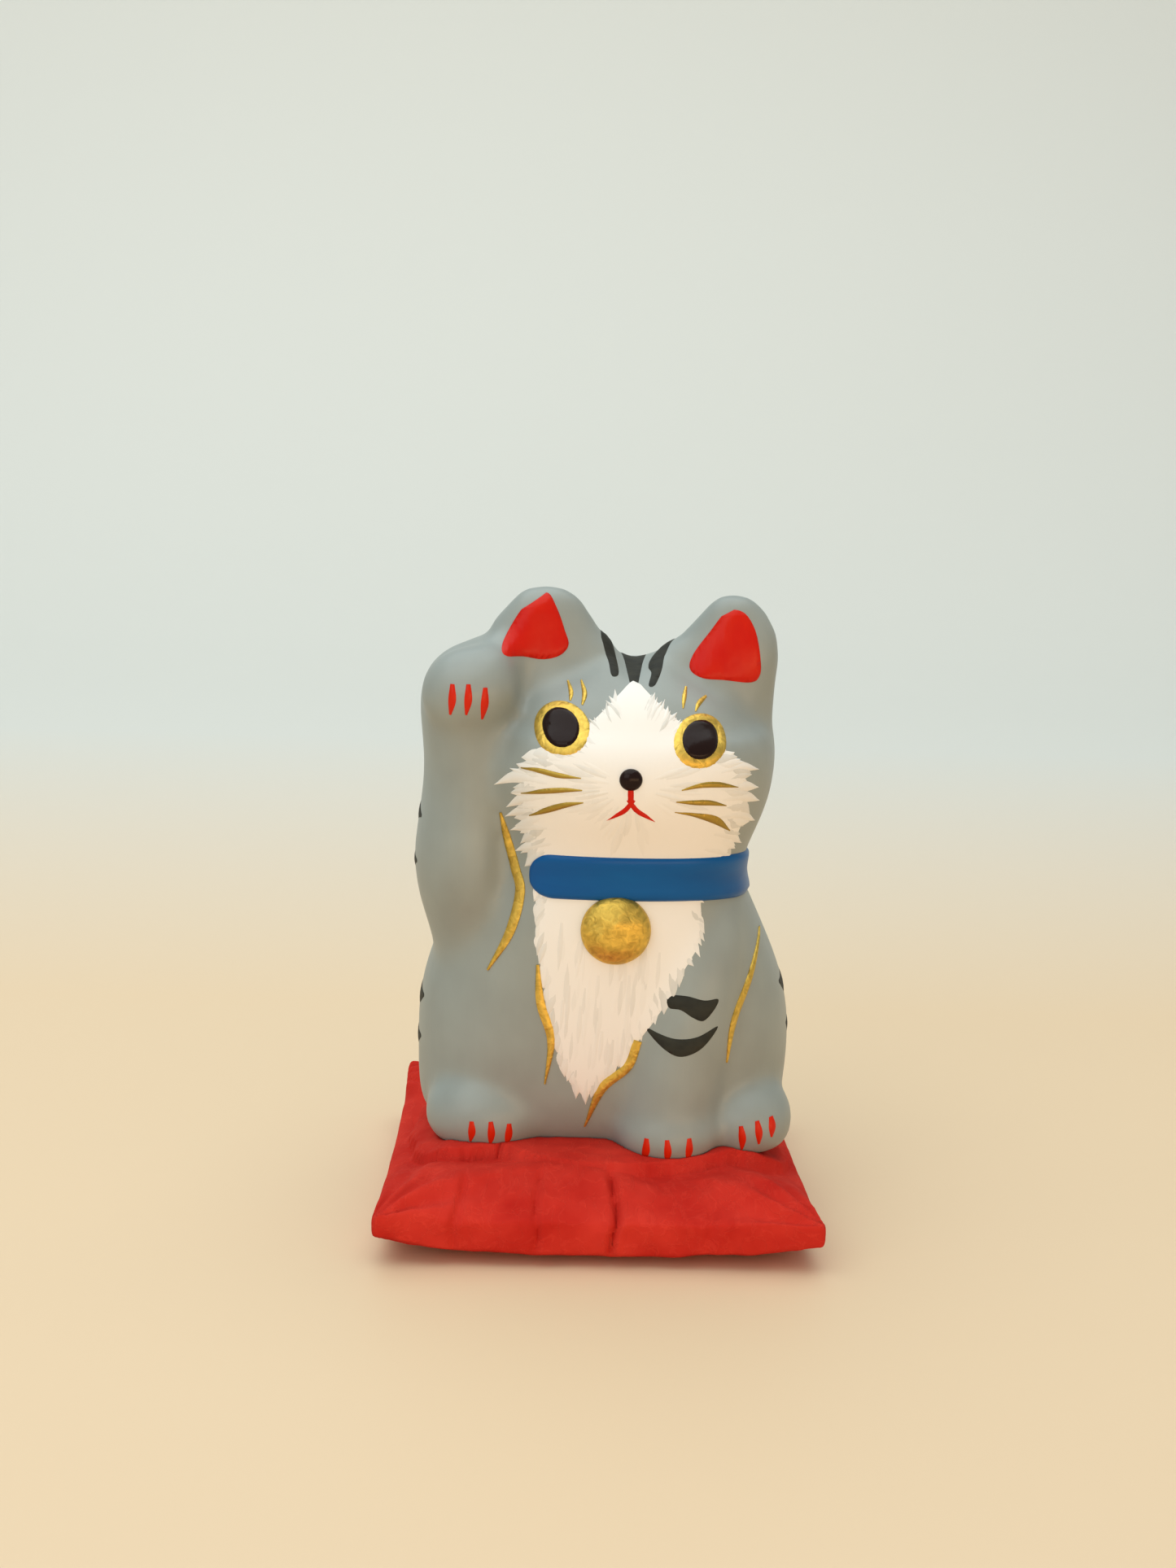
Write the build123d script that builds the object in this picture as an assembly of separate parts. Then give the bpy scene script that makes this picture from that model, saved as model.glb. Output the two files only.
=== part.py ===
from build123d import *
import math
import os

os.makedirs("parts", exist_ok=True)

# A beckoning-cat figurine of hollow, press-moulded clay, painted after firing, which sits loose
# on its own paper-covered cushion. Origin: the middle of the cushion's underside. The cat looks
# along -Y, and the arm that it raises is on the -X side.

# ---- driving dimensions, mm ----
cushion_width = 57.4
cushion_depth = 51.6
cushion_height = 11.4
cushion_corner = 7.0
cushion_edge_round = 4.6
cover_thickness = 0.5
seat_height = 9.2            # the dent's floor, where the cat's flat base rests
dent_clearance = 0.35        # round the cat, between clay and cushion

cat_width = 50.6             # across the raised elbow and the far haunch
cat_depth = 38.0
cat_height = 73.4            # from the flat base to the tip of the higher ear
wall = 3.2                   # of the pressed clay
vent_radius = 4.5            # the hole in the base that lets the kiln's steam out
coat = 0.3                   # how far the thick matt paint stands on the clay

collar_middle = 35.9         # height of its midline above the cat's base
collar_height = 5.6
collar_thickness = 0.6
collar_tilt = 8.0            # degrees, higher at the throat than at the nape
bell_radius = 4.2
bell_dome = 1.9              # how far the bell's crown stands in front of its rim
bell_rim = 1.0
eye_ring_width = 3.35
eye_ring_height = 3.6
pupil_width = 2.2
pupil_height = 2.4
nose_radius = 1.4
nose_stand = 0.9             # how far the nose stands on the muzzle
whisker_width = 0.7
lash_width = 0.6
mouth_width = 0.5
contour_width = 0.95
claw_width = 0.9
claw_length = 2.9

# The outlines and sections below are drawn at this size and made to the size above.
drawn_width = 50.6
drawn_depth = 38.0
drawn_height = 73.4
middle_x = 0.4               # of the cat across, on the cushion
middle_y = 3.2

to_x = cat_width / drawn_width
to_y = cat_depth / drawn_depth
to_z = cat_height / drawn_height
beyond = 2 * cat_height      # longer than the cat any way, for tools that cut right through


def place(x, y, h):
    """A drawn point, x and y from the cat's middle and h above its base, at its made size."""
    return Vector(middle_x + x * to_x, middle_y + y * to_y, seat_height + h * to_z)


# ---- the clay form ----

chest_front = -14.5          # drawn y of the breast, behind the bell
face_front = -18.8           # drawn y of the muzzle, behind the nose

# Level sections of the trunk, from the base to the brow: height, left, right, front and back.
trunk_levels = [
    (0.0, -21.9, 23.8, -9.8, 14.6),
    (4.0, -24.2, 25.0, -12.0, 17.2),
    (11.0, -24.5, 25.5, -13.6, 18.8),
    (18.0, -24.2, 24.9, -14.2, 18.8),
    (25.0, -22.4, 22.6, chest_front, 17.6),
    (32.0, -19.6, 19.4, chest_front, 15.4),
    (38.0, -16.6, 18.1, -14.6, 13.6),
    (43.0, -16.4, 19.6, -16.2, 13.4),
    (48.5, -17.6, 21.1, -18.4, 13.9),
    (53.0, -17.9, 21.4, face_front, 14.2),
    (56.5, -16.6, 20.3, -17.3, 12.6),
]
crown_ball = (1.85, -2.35, 52.0, 19.0, 15.5, 12.6)   # centre x, y, height and half sizes
section_points = 16
squareness = 2.35            # of a section: 2 is an ellipse


def section(height, left, right, front, back, grow):
    """A closed level outline that bulges between its four sides."""
    points = []
    for i in range(section_points):
        turn = 2 * math.pi * i / section_points
        across = math.copysign(abs(math.cos(turn)) ** (2 / squareness), math.cos(turn))
        along = math.copysign(abs(math.sin(turn)) ** (2 / squareness), math.sin(turn))
        half_x = (right - left) / 2
        half_y = (back - front) / 2
        centre = place((left + right) / 2, (front + back) / 2, height)
        points.append(centre + Vector((half_x * to_x + grow) * across,
                                      (half_y * to_y + grow) * along, 0))
    return make_face(Spline(*points, periodic=True))


def trunk(grow):
    """Torso, neck and head up to the brow, its sides moved outwards by grow."""
    return loft([section(*level, grow) for level in trunk_levels])


def limb(levels, grow):
    """A limb lofted through ellipses: centre x, centre y, height, half width, half depth."""
    rings = []
    for x, y, height, half_x, half_y in levels:
        ellipse = Ellipse(half_x * to_x + grow, half_y * to_y + grow)
        rings.append(Location(place(x, y, height)) * ellipse)
    return loft(rings)


def ball(x, y, height, half_x, half_y, half_z, grow):
    """A rounded lump such as a paw."""
    size = (half_x * to_x + grow, half_y * to_y + grow, half_z * to_z + grow)
    return Location(place(x, y, height)) * scale(Sphere(1), by=size)


foreleg_levels = [
    (8.8, -9.0, 0.0, 6.8, 7.7),
    (9.4, -9.2, 12.0, 6.7, 7.4),
    (11.2, -8.4, 22.0, 6.5, 7.2),
    (12.4, -6.4, 30.0, 5.8, 6.2),
    (12.8, -3.0, 37.0, 3.6, 4.0),
]
raised_arm_levels = [
    (-14.4, 0.0, 15.0, 3.8, 5.0),
    (-16.2, -0.9, 24.0, 6.2, 8.0),
    (-17.8, -2.0, 33.0, 7.0, 9.4),
    (-18.6, -3.0, 41.0, 6.5, 9.6),
    (-18.2, -3.4, 50.0, 6.1, 9.0),
    (-18.3, -4.2, 57.5, 6.6, 9.2),
    (-17.7, -4.0, 62.8, 6.2, 7.2),
    (-13.9, -3.0, 66.1, 3.6, 4.4),
]
near_ear_levels = [
    (-7.6, -2.2, 56.0, 8.6, 6.0),
    (-8.6, -2.4, 62.5, 8.4, 5.2),
    (-8.4, -2.6, 66.5, 6.8, 4.2),
    (-8.1, -2.8, 69.6, 5.2, 3.3),
    (-7.9, -2.9, 72.2, 3.2, 2.3),
    (-7.8, -2.9, 73.4, 1.0, 0.9),
]
far_ear_levels = [
    (12.4, -2.2, 55.5, 8.4, 6.0),
    (13.0, -2.4, 62.0, 7.8, 5.2),
    (13.9, -2.6, 66.0, 6.5, 4.2),
    (14.6, -2.8, 69.0, 5.1, 3.3),
    (15.1, -2.9, 71.6, 3.2, 2.3),
    (15.3, -2.9, 72.8, 1.0, 0.9),
]
paw_ball = (-18.5, -9.4, 60.7, 6.2, 6.0, 5.8)
near_foot_ball = (-14.8, -6.4, 3.6, 8.4, 7.4, 6.0)
forepaw_ball = (8.8, -10.8, 3.2, 6.9, 7.0, 5.2)
far_foot_ball = (19.4, -5.8, 3.4, 6.4, 7.8, 5.8)

ground = Pos(0, 0, seat_height - beyond / 2) * Box(beyond, beyond, beyond)


def core(grow):
    """Torso and head without limbs or ears, moved outwards by grow."""
    return trunk(grow).fuse(ball(*crown_ball, grow))


def form(grow):
    """The whole cat, moved outwards by grow and cut flat where it stands."""
    lumps = [core(grow)]
    for levels in (foreleg_levels, raised_arm_levels, near_ear_levels, far_ear_levels):
        lumps.append(limb(levels, grow))
    for lump in (paw_ball, near_foot_ball, forepaw_ball, far_foot_ball):
        lumps.append(ball(*lump, grow))
    whole = lumps[0].fuse(*lumps[1:])
    return whole - ground


# ---- the clay ----

outside = form(0)
skin = form(coat) - outside
cavity = core(-wall) - Pos(0, 0, wall) * ground
vent = Location(place(0, 0, 0)) * Cylinder(vent_radius, 4 * wall)
clay_body = outside - cavity - vent

# ---- paint and raised enamel, each laid on the clay inside its outline ----

brush_start = -2.4           # drawn y, behind everything that is painted from the front


def on_front(outline):
    """An upright outline of drawn width and height, pushed forward through the cat's front."""
    start = place(0, brush_start, 0)
    sheet = Plane(origin=start, x_dir=(1, 0, 0), z_dir=(0, -1, 0))
    return extrude(sheet * outline, amount=beyond)


def drawn(*points):
    """Drawn points, across and up, as points of the sheet at the cat's made size."""
    return [(x * to_x, height * to_z) for x, height in points]


def laid(outline):
    """The coat that covers the clay inside an outline."""
    return on_front(outline) & skin


def patch(*points):
    """A flat outline with straight edges."""
    return make_face(Polyline(*drawn(*points), close=True))


def stroke(width, *points):
    """A brush stroke of even width along a smooth line."""
    return trace(Spline(*drawn(*points)), line_width=width)


def spot(centre, half_x, half_z):
    """An upright ellipse at a drawn centre."""
    return Pos(*drawn(centre)[0]) * Ellipse(half_x, half_z)


near_eye = (-6.7, 58.2)
far_eye = (10.3, 56.8)
nose_tip = (1.8, 52.5)
bell_centre = (0.6, 31.7)

eye_discs = [spot(eye, eye_ring_width, eye_ring_height) for eye in (near_eye, far_eye)]
pupil_discs = [spot(eye, pupil_width, pupil_height) for eye in (near_eye, far_eye)]
nose_disc = spot(nose_tip, nose_radius, nose_radius)
bell_disc = spot(bell_centre, bell_radius, bell_radius)

pupils = [laid(disc) for disc in pupil_discs]
eye_rings = [laid(eye - pupil) for eye, pupil in zip(eye_discs, pupil_discs)]

lash_strokes = [
    stroke(lash_width, (-6.1, 63.6), (-6.0, 61.3)),
    stroke(lash_width, (-4.6, 63.6), (-4.4, 61.0)),
    stroke(lash_width, (8.5, 63.0), (8.1, 60.0)),
    stroke(lash_width, (11.2, 62.2), (10.6, 60.2)),
]
lash_strokes = [line - eye_discs[0] - eye_discs[1] for line in lash_strokes]
lashes = [laid(line) for line in lash_strokes]

whisker_strokes = [
    stroke(whisker_width, (-11.2, 52.4), (-4.4, 52.8)),
    stroke(whisker_width, (-11.2, 49.8), (-4.3, 50.8)),
    stroke(whisker_width, (-10.1, 46.9), (-4.1, 49.1)),
    stroke(whisker_width, (8.3, 51.2), (15.1, 51.4)),
    stroke(whisker_width, (7.9, 49.5), (13.7, 48.4)),
    stroke(whisker_width, (7.6, 48.0), (14.4, 45.4)),
]
whiskers = [laid(line) for line in whisker_strokes]

mouth_stem = stroke(mouth_width, (1.8, 51.4), (1.8, 48.8))
mouth_lips = stroke(mouth_width, (-0.9, 47.0), (0.6, 47.7), (1.8, 48.8), (3.1, 47.8), (4.7, 47.1))
mouth_outline = mouth_stem + mouth_lips - nose_disc
mouth_line = laid(mouth_outline)

crown_outlines = [
    patch((-2.2, 63.6), (-0.9, 63.6), (-0.1, 61.8), (-0.8, 61.7)),
    patch((1.2, 63.7), (3.7, 63.7), (2.8, 61.7), (2.2, 61.7)),
    patch((5.6, 63.4), (7.0, 63.2), (5.2, 60.9), (4.4, 61.2)),
]
crown_stripes = [laid(outline) for outline in crown_outlines]

contour_strokes = [
    stroke(contour_width, (-14.2, 45.4), (-12.1, 39.3), (-11.9, 35.4), (-15.1, 25.7)),
    stroke(contour_width, (-8.8, 25.9), (-8.3, 22.0), (-7.0, 17.3), (-7.5, 10.5)),
    stroke(contour_width, (4.1, 16.1), (2.9, 13.2), (0.0, 10.4), (-1.9, 4.9)),
    stroke(contour_width, (19.5, 29.5), (18.1, 22.1), (16.0, 14.0)),
]

foreleg_outlines = [
    patch((6.8, 22.6), (10.3, 23.2), (14.1, 22.6), (12.4, 20.3), (9.6, 21.4)),
    patch((5.0, 19.1), (9.6, 17.4), (14.3, 18.9), (12.6, 16.2), (9.6, 15.2), (6.8, 16.4)),
]
foreleg_stripes = [laid(outline) for outline in foreleg_outlines]

ear_outlines = [
    patch((-8.8, 72.3), (-11.9, 69.4), (-13.6, 66.6), (-12.9, 65.7), (-7.0, 65.0), (-6.2, 65.8)),
    patch((15.1, 71.4), (12.0, 68.6), (9.5, 64.4), (10.2, 63.6), (17.6, 62.8), (18.3, 63.6)),
]
ear_linings = []
for outline, levels in zip(ear_outlines, (near_ear_levels, far_ear_levels)):
    head_and_ear = core(coat).fuse(limb(levels, coat))
    ear_linings.append((on_front(outline) & head_and_ear) - outside)

claw_places = [
    (-20.6, 60.9), (-18.6, 60.8), (-16.4, 60.6),
    (-17.0, 2.6), (-14.4, 2.5), (-12.1, 2.6),
    (5.7, 2.6), (8.5, 2.5), (11.3, 2.7),
    (18.4, 3.0), (20.7, 3.2), (22.6, 3.4),
]
half_claw = claw_length / 2 / to_z
claws = [
    laid(stroke(claw_width, (x, height - half_claw), (x, height + half_claw)))
    for x, height in claw_places
]

# ---- collar and bell, in raised enamel round the neck ----

collar_slab = Location(place(0, 0, collar_middle)) * Rot(-collar_tilt, 0, 0) * Box(
    beyond, beyond, collar_height)
collar_band = (collar_slab & trunk(collar_thickness)) - outside

bell_at = place(bell_centre[0], chest_front, bell_centre[1])
bell_axis = Plane(origin=bell_at + Vector(0, -bell_rim, 0), z_dir=(0, -1, 0))
dome_ball = (bell_radius ** 2 + bell_dome ** 2) / (2 * bell_dome)
dome = bell_axis * Pos(0, 0, bell_dome - dome_ball) * Sphere(dome_ball)
barrel = extrude(bell_axis * Circle(bell_radius), amount=beyond / 2, both=True)
behind_rim = extrude(bell_axis * Circle(bell_radius), amount=-4 * bell_rim)
in_front = extrude(bell_axis * Rectangle(beyond, beyond), amount=beyond)
bell = (dome & barrel & in_front) + behind_rim - outside - collar_band

nose_at = place(nose_tip[0], face_front, nose_tip[1])
nose = Location(nose_at) * scale(Sphere(1), by=(nose_radius, nose_stand, nose_radius)) - outside

# ---- white coats, which stop at everything that is laid on the same clay ----

face_outline = patch(
    (2.5, 61.6), (-3.1, 59.8), (-3.4, 55.6), (-7.0, 54.2), (-11.8, 52.2), (-14.6, 50.2),
    (-12.0, 49.6), (-13.2, 47.0), (-11.0, 46.4), (-11.6, 43.6), (-9.9, 42.6),
    (14.6, 42.0), (14.9, 44.2), (17.4, 46.0), (16.0, 47.2), (18.8, 49.2),
    (14.9, 51.9), (11.0, 52.6), (7.6, 54.0), (5.9, 60.0),
)
for mark in [*eye_discs, *lash_strokes, *whisker_strokes, *crown_outlines, nose_disc, mouth_outline]:
    face_outline -= mark
face_coat = laid(face_outline) - collar_band

bib_outline = patch(
    (-10.2, 34.4), (-8.3, 25.6), (-7.2, 20.4), (-4.8, 11.9), (-2.3, 8.6), (-0.2, 11.0),
    (3.7, 16.1), (7.0, 19.6), (9.2, 25.0), (12.3, 31.1), (10.9, 34.9),
)
for mark in [bell_disc, *contour_strokes, *foreleg_outlines]:
    bib_outline -= mark
bib_coat = laid(bib_outline) - collar_band
contour_lines = [laid(line) - collar_band for line in contour_strokes]

# ---- the cushion: a paper cover round soft wadding, dented by the cat's weight ----


def pillow(inset):
    """A plump rectangular pad, each side moved inwards by inset."""
    plan = RectangleRounded(
        cushion_width - 2 * inset, cushion_depth - 2 * inset, cushion_corner - inset)
    pad = extrude(Pos(0, 0, inset) * plan, amount=cushion_height - 2 * inset)
    rims = pad.faces().sort_by(Axis.Z)[0].edges() + pad.faces().sort_by(Axis.Z)[-1].edges()
    return fillet(rims, cushion_edge_round - inset)


def dent(extra):
    """The room that the cat's base takes, wider and deeper by extra."""
    return Pos(0, 0, -extra) * form(coat + dent_clearance + extra)


cushion_filling = pillow(cover_thickness) - dent(cover_thickness)
cushion_cover = pillow(0) - dent(0) - cushion_filling

nodes = {
    "clay_body": clay_body,
    "face_coat": face_coat,
    "bib_coat": bib_coat,
    "ear_linings": ear_linings,
    "eye_rings": eye_rings,
    "pupils": pupils,
    "lashes": lashes,
    "nose": nose,
    "mouth_line": mouth_line,
    "whiskers": whiskers,
    "crown_stripes": crown_stripes,
    "foreleg_stripes": foreleg_stripes,
    "contour_lines": contour_lines,
    "claws": claws,
    "collar_band": collar_band,
    "bell": bell,
    "cushion_cover": cushion_cover,
    "cushion_filling": cushion_filling,
}
for name, shape in nodes.items():
    pieces = shape if isinstance(shape, list) else [shape]
    solids = [solid for piece in pieces for solid in piece.solids()]
    export_step(Compound(children=solids, label=name), f"parts/{name}.step")
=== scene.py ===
import math
import random

import bmesh
import bpy
import numpy as np
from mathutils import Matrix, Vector, noise
from mathutils.bvhtree import BVHTree


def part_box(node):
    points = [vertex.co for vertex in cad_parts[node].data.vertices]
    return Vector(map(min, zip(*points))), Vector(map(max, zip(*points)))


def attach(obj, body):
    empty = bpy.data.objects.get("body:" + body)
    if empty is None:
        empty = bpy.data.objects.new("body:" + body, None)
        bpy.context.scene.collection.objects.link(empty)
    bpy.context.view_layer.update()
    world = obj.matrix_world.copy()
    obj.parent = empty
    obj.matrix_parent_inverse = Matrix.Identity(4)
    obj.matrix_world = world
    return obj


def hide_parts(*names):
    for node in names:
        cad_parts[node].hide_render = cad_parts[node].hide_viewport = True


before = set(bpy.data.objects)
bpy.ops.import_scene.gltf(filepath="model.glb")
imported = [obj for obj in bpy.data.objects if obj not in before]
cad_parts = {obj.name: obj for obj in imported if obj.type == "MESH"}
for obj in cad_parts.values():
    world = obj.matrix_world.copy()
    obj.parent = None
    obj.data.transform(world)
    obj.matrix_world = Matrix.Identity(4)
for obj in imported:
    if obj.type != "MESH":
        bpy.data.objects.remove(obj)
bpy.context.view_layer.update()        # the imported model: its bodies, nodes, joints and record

mm = 0.001

# ---- the clay cat ----
# A hollow shell of clay, pressed in a two-part mould, luted together and smoothed over before
# it is fired. A vent hole in the flat base lets the steam out. It is brushed all over with
# matt blue-grey paint, and stands loose on its cushion.

clay_wall = 3.2 * mm
vent_at = Vector((0.4, 3.2)) * mm
vent_radius = 4.5 * mm
rough_voxel = 0.8 * mm
fine_voxel = 0.42 * mm


class Reading:
    """A shader value that can be added, scaled and limited like a number."""

    def __init__(self, socket):
        self.socket = socket
        self.tree = socket.id_data

    def worked(self, operation, first, second):
        node = self.tree.nodes.new("ShaderNodeMath")
        node.operation = operation
        for slot, value in zip(node.inputs, (first, second)):
            if isinstance(value, Reading):
                self.tree.links.new(value.socket, slot)
            else:
                slot.default_value = value
        return Reading(node.outputs[0])

    def __add__(self, other):
        return self.worked("ADD", self, other)

    def __radd__(self, other):
        return self.worked("ADD", other, self)

    def __sub__(self, other):
        return self.worked("SUBTRACT", self, other)

    def __rsub__(self, other):
        return self.worked("SUBTRACT", other, self)

    def __mul__(self, other):
        return self.worked("MULTIPLY", self, other)

    def __rmul__(self, other):
        return self.worked("MULTIPLY", other, self)

    def __abs__(self):
        return self.worked("ABSOLUTE", self, 0)

    def within(self, low, high):
        raised = self.worked("MAXIMUM", self, low)
        return raised.worked("MINIMUM", raised, high)


class Finish:
    """A material: its Principled shader, and the nodes that are added to feed it."""

    def __init__(self, name, **constants):
        self.material = bpy.data.materials.new(name)
        self.material.use_nodes = True
        self.tree = self.material.node_tree
        self.shader = self.tree.nodes["Principled BSDF"]
        self.feed(self.shader, constants)
        self.place = self.add("TexCoord").outputs["Object"]

    def feed(self, node, sockets):
        for name, value in sockets.items():
            socket = node.inputs[name.replace("_", " ")] if isinstance(name, str) else node.inputs[name]
            if isinstance(value, Reading):
                value = value.socket
            if isinstance(value, bpy.types.NodeSocket):
                self.tree.links.new(value, socket)
            else:
                socket.default_value = value

    def add(self, kind, settings=None, sockets=None):
        node = self.tree.nodes.new("ShaderNode" + kind)
        for name, value in (settings or {}).items():
            setattr(node, name, value)
        self.feed(node, sockets or {})
        return node

    def cloud(self, scale, stretch=(1, 1, 1), detail=3.0, distortion=0.0):
        """Soft noise in the object's own metres, drawn out along an axis where stretch is small."""
        turned = self.add("Mapping", sockets={"Vector": self.place, "Scale": stretch})
        made = self.add("TexNoise", sockets={
            "Vector": turned.outputs[0], "Scale": scale, "Detail": detail, "Distortion": distortion})
        return Reading(made.outputs[0])

    def attribute(self, name):
        return Reading(self.add("Attribute", {"attribute_name": name}).outputs["Fac"])

    def mixed(self, share, first, second):
        node = self.add("Mix", {"data_type": "RGBA"}, {0: share, 6: first, 7: second})
        return node.outputs[2]

    def relief(self, height, depth):
        """Bump of a given depth in metres, on the shader's normal."""
        bump = self.add("Bump", sockets={"Height": height, "Distance": depth, "Strength": 1.0})
        self.feed(self.shader, {"Normal": bump.outputs[0]})


def object_of(shape, name, finish=None):
    """A new object at the origin that holds a finished bmesh."""
    mesh = bpy.data.meshes.new(name)
    shape.to_mesh(mesh)
    shape.free()
    piece = bpy.data.objects.new(name, mesh)
    bpy.context.scene.collection.objects.link(piece)
    if finish:
        mesh.materials.append(finish.material)
    return piece


def settle(piece, modifier, **settings):
    """Puts one modifier on a piece and turns the result into plain mesh."""
    step = piece.modifiers.new("step", modifier)
    for name, value in settings.items():
        setattr(step, name, value)
    graph = bpy.context.evaluated_depsgraph_get()
    shaped = bpy.data.meshes.new_from_object(piece.evaluated_get(graph))
    piece.modifiers.clear()
    piece.data = shaped


def smooth(piece, sharp_over=50):
    """Smooth shading with real edges kept where faces turn by more than an angle in degrees."""
    for polygon in piece.data.polygons:
        polygon.use_smooth = True
    piece.data.set_sharp_from_angle(angle=math.radians(sharp_over))


def joined_to(start):
    """Every vertex that a walk along edges reaches from one vertex."""
    found, waiting = {start}, [start]
    while waiting:
        vert = waiting.pop()
        for edge in vert.link_edges:
            other = edge.other_vert(vert)
            if other not in found:
                found.add(other)
                waiting.append(other)
    return found


def skin_of(node, outer):
    """The outer or the inner skin of the hollow clay, each closed over the vent hole."""
    skin = bmesh.new()
    skin.from_mesh(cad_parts[node].data)
    bmesh.ops.remove_doubles(skin, verts=skin.verts, dist=0.002 * mm)
    top_of_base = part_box(node)[0].z + 0.98 * clay_wall
    wall_of_vent = []
    for face in skin.faces:
        centre = face.calc_center_median()
        in_vent = (centre.xy - vent_at).length < 1.02 * vent_radius
        if centre.z < top_of_base and in_vent and abs(face.normal.z) < 0.5:
            wall_of_vent.append(face)
    bmesh.ops.delete(skin, geom=wall_of_vent, context="FACES")
    outside = joined_to(max(skin.verts, key=lambda vert: vert.co.z))
    unwanted = [vert for vert in skin.verts if (vert in outside) != outer]
    bmesh.ops.delete(skin, geom=unwanted, context="VERTS")
    bmesh.ops.holes_fill(skin, edges=[edge for edge in skin.edges if edge.is_boundary])
    return skin


def vertex_table(mesh, kind):
    """The places ("co") or normals ("normal") of a mesh's vertices, one row for each."""
    table = np.empty(3 * len(mesh.vertices))
    mesh.vertices.foreach_get(kind, table)
    return table.reshape(-1, 3)


def push(piece, centre, reach, amount):
    """Draws the clay out, or presses it in, round a point in mm, by up to amount along its normals."""
    places = vertex_table(piece.data, "co")
    away = (places - np.array(centre) * mm) / (np.array(reach) * mm)
    share = np.exp(-(away ** 2).sum(axis=1))
    places += vertex_table(piece.data, "normal") * (share * amount * mm)[:, None]
    piece.data.vertices.foreach_set("co", places.ravel())
    piece.data.update()


grey_paint = Finish("grey_matt_paint", Specular_IOR_Level=0.45)
patches = grey_paint.cloud(110, detail=2.0)
strokes = grey_paint.cloud(420, stretch=(1, 1, 0.35), detail=4.0)
grey_paint.feed(grey_paint.shader, {
    "Base Color": grey_paint.mixed(
        (patches * 0.75 + strokes * 0.25).within(0, 1),
        (0.225, 0.25, 0.235, 1), (0.34, 0.39, 0.375, 1)),
    "Roughness": 0.34 + strokes * 0.16})
grey_paint.relief(strokes + grey_paint.cloud(60) * 2, 0.05 * mm)

cat = object_of(skin_of("clay_body", True), "cat_body")
settle(cat, "REMESH", mode="VOXEL", voxel_size=rough_voxel)
settle(cat, "SMOOTH", factor=0.5, iterations=14)
for centre, reach, amount in (
    ((2.2, -15.5, 58.5), (8, 6, 6), 0.7),           # muzzle
    ((-15.4, -12.0, 64.5), (3.6, 6, 4.0), -1.0),    # hollow between the paw and the brow
    ((-12.2, -9.0, 52.0), (2.0, 6, 9), -0.6),       # groove between the arm and the cheek
    ((-14.0, -2.5, 77.0), (3.2, 7, 5.0), 2.0),      # saddle between the paw and the near ear
    ((-11.4, -2.8, 81.5), (3.0, 6, 2.8), 1.3),      # tip of the near ear
    ((-0.4, -1.5, 74.8), (2.6, 7, 2.4), 1.6),       # where the ears run into the crown
    ((6.4, -1.5, 74.6), (2.6, 7, 2.4), 1.6),
    ((2.9, -2.0, 73.8), (2.4, 7, 2.2), -1.0),       # crown between them
    ((19.8, -2.5, 76.0), (3.0, 6, 5.0), 1.2),       # outer side and tip of the far ear
    ((14.5, -2.8, 82.0), (3.6, 5, 2.6), 0.7),
    ((19.5, -4.0, 22.0), (5, 8, 9), 0.5),           # far haunch
    ((-15.5, -8.0, 20.0), (6, 6, 9), 0.6),          # near haunch
):
    push(cat, centre, reach, amount)
settle(cat, "REMESH", mode="VOXEL", voxel_size=fine_voxel)
settle(cat, "SMOOTH", factor=0.5, iterations=6)
clay = BVHTree.FromObject(cat, bpy.context.evaluated_depsgraph_get())

cavity = object_of(skin_of("clay_body", False), "cavity")
vent = bmesh.new()
bmesh.ops.create_cone(vent, cap_ends=True, segments=64, depth=3 * clay_wall,
                      radius1=vent_radius, radius2=vent_radius)
bmesh.ops.translate(vent, vec=(vent_at.x, vent_at.y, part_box("clay_body")[0].z), verts=vent.verts)
vent = object_of(vent, "vent")
for hollow in (cavity, vent):
    settle(cat, "BOOLEAN", operation="DIFFERENCE", object=hollow, solver="MANIFOLD")
    bpy.data.objects.remove(hollow)
cat.data.materials.clear()
cat.data.materials.append(grey_paint.material)
smooth(cat)
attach(cat, "cat")
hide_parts("clay_body")

# ---- white face and bib ----
# Thick chalk-white paint. The face and the bib are each a filled patch whose edge is feathered
# with many short tapered brush strokes, laid one over another like fur.

sides = {       # as seen from each side of the cat: the way across and the way up
    "front": (Vector((1, 0, 0)), Vector((0, 0, 1))),
    "left": (Vector((0, -1, 0)), Vector((0, 0, 1))),
    "right": (Vector((0, 1, 0)), Vector((0, 0, 1))),
    "back": (Vector((-1, 0, 0)), Vector((0, 0, 1))),
    "top": (Vector((1, 0, 0)), Vector((0, 1, 0))),
}
paint_rim = 0.02       # how far the thinnest paint stands off the clay, mm
paint_sunk = 0.06      # how far its hidden back is sunk into the clay, mm


def smoothed(points, steps):
    """Evenly many places between each pair of points, on a Catmull-Rom curve through them all."""
    points = np.array(points, dtype=float)
    points = np.vstack([2 * points[0] - points[1], points, 2 * points[-1] - points[-2]])
    share = np.linspace(0, 1, steps, endpoint=False)[:, None]
    line = []
    for a, b, c, d in zip(points, points[1:], points[2:], points[3:]):
        line.append(0.5 * (2 * b + (c - a) * share + (2 * a - 5 * b + 4 * c - d) * share ** 2
                           + (3 * b - a - 3 * c + d) * share ** 3))
    return np.vstack([*line, points[-2:-1]])


def rounded(points, steps=6):
    """A closed outline that runs smoothly through its points."""
    looped = [points[-2], points[-1], *points, points[0], points[1]]
    return [tuple(point) for point in smoothed(looped, steps)[2 * steps:-2 * steps - 1]]


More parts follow.
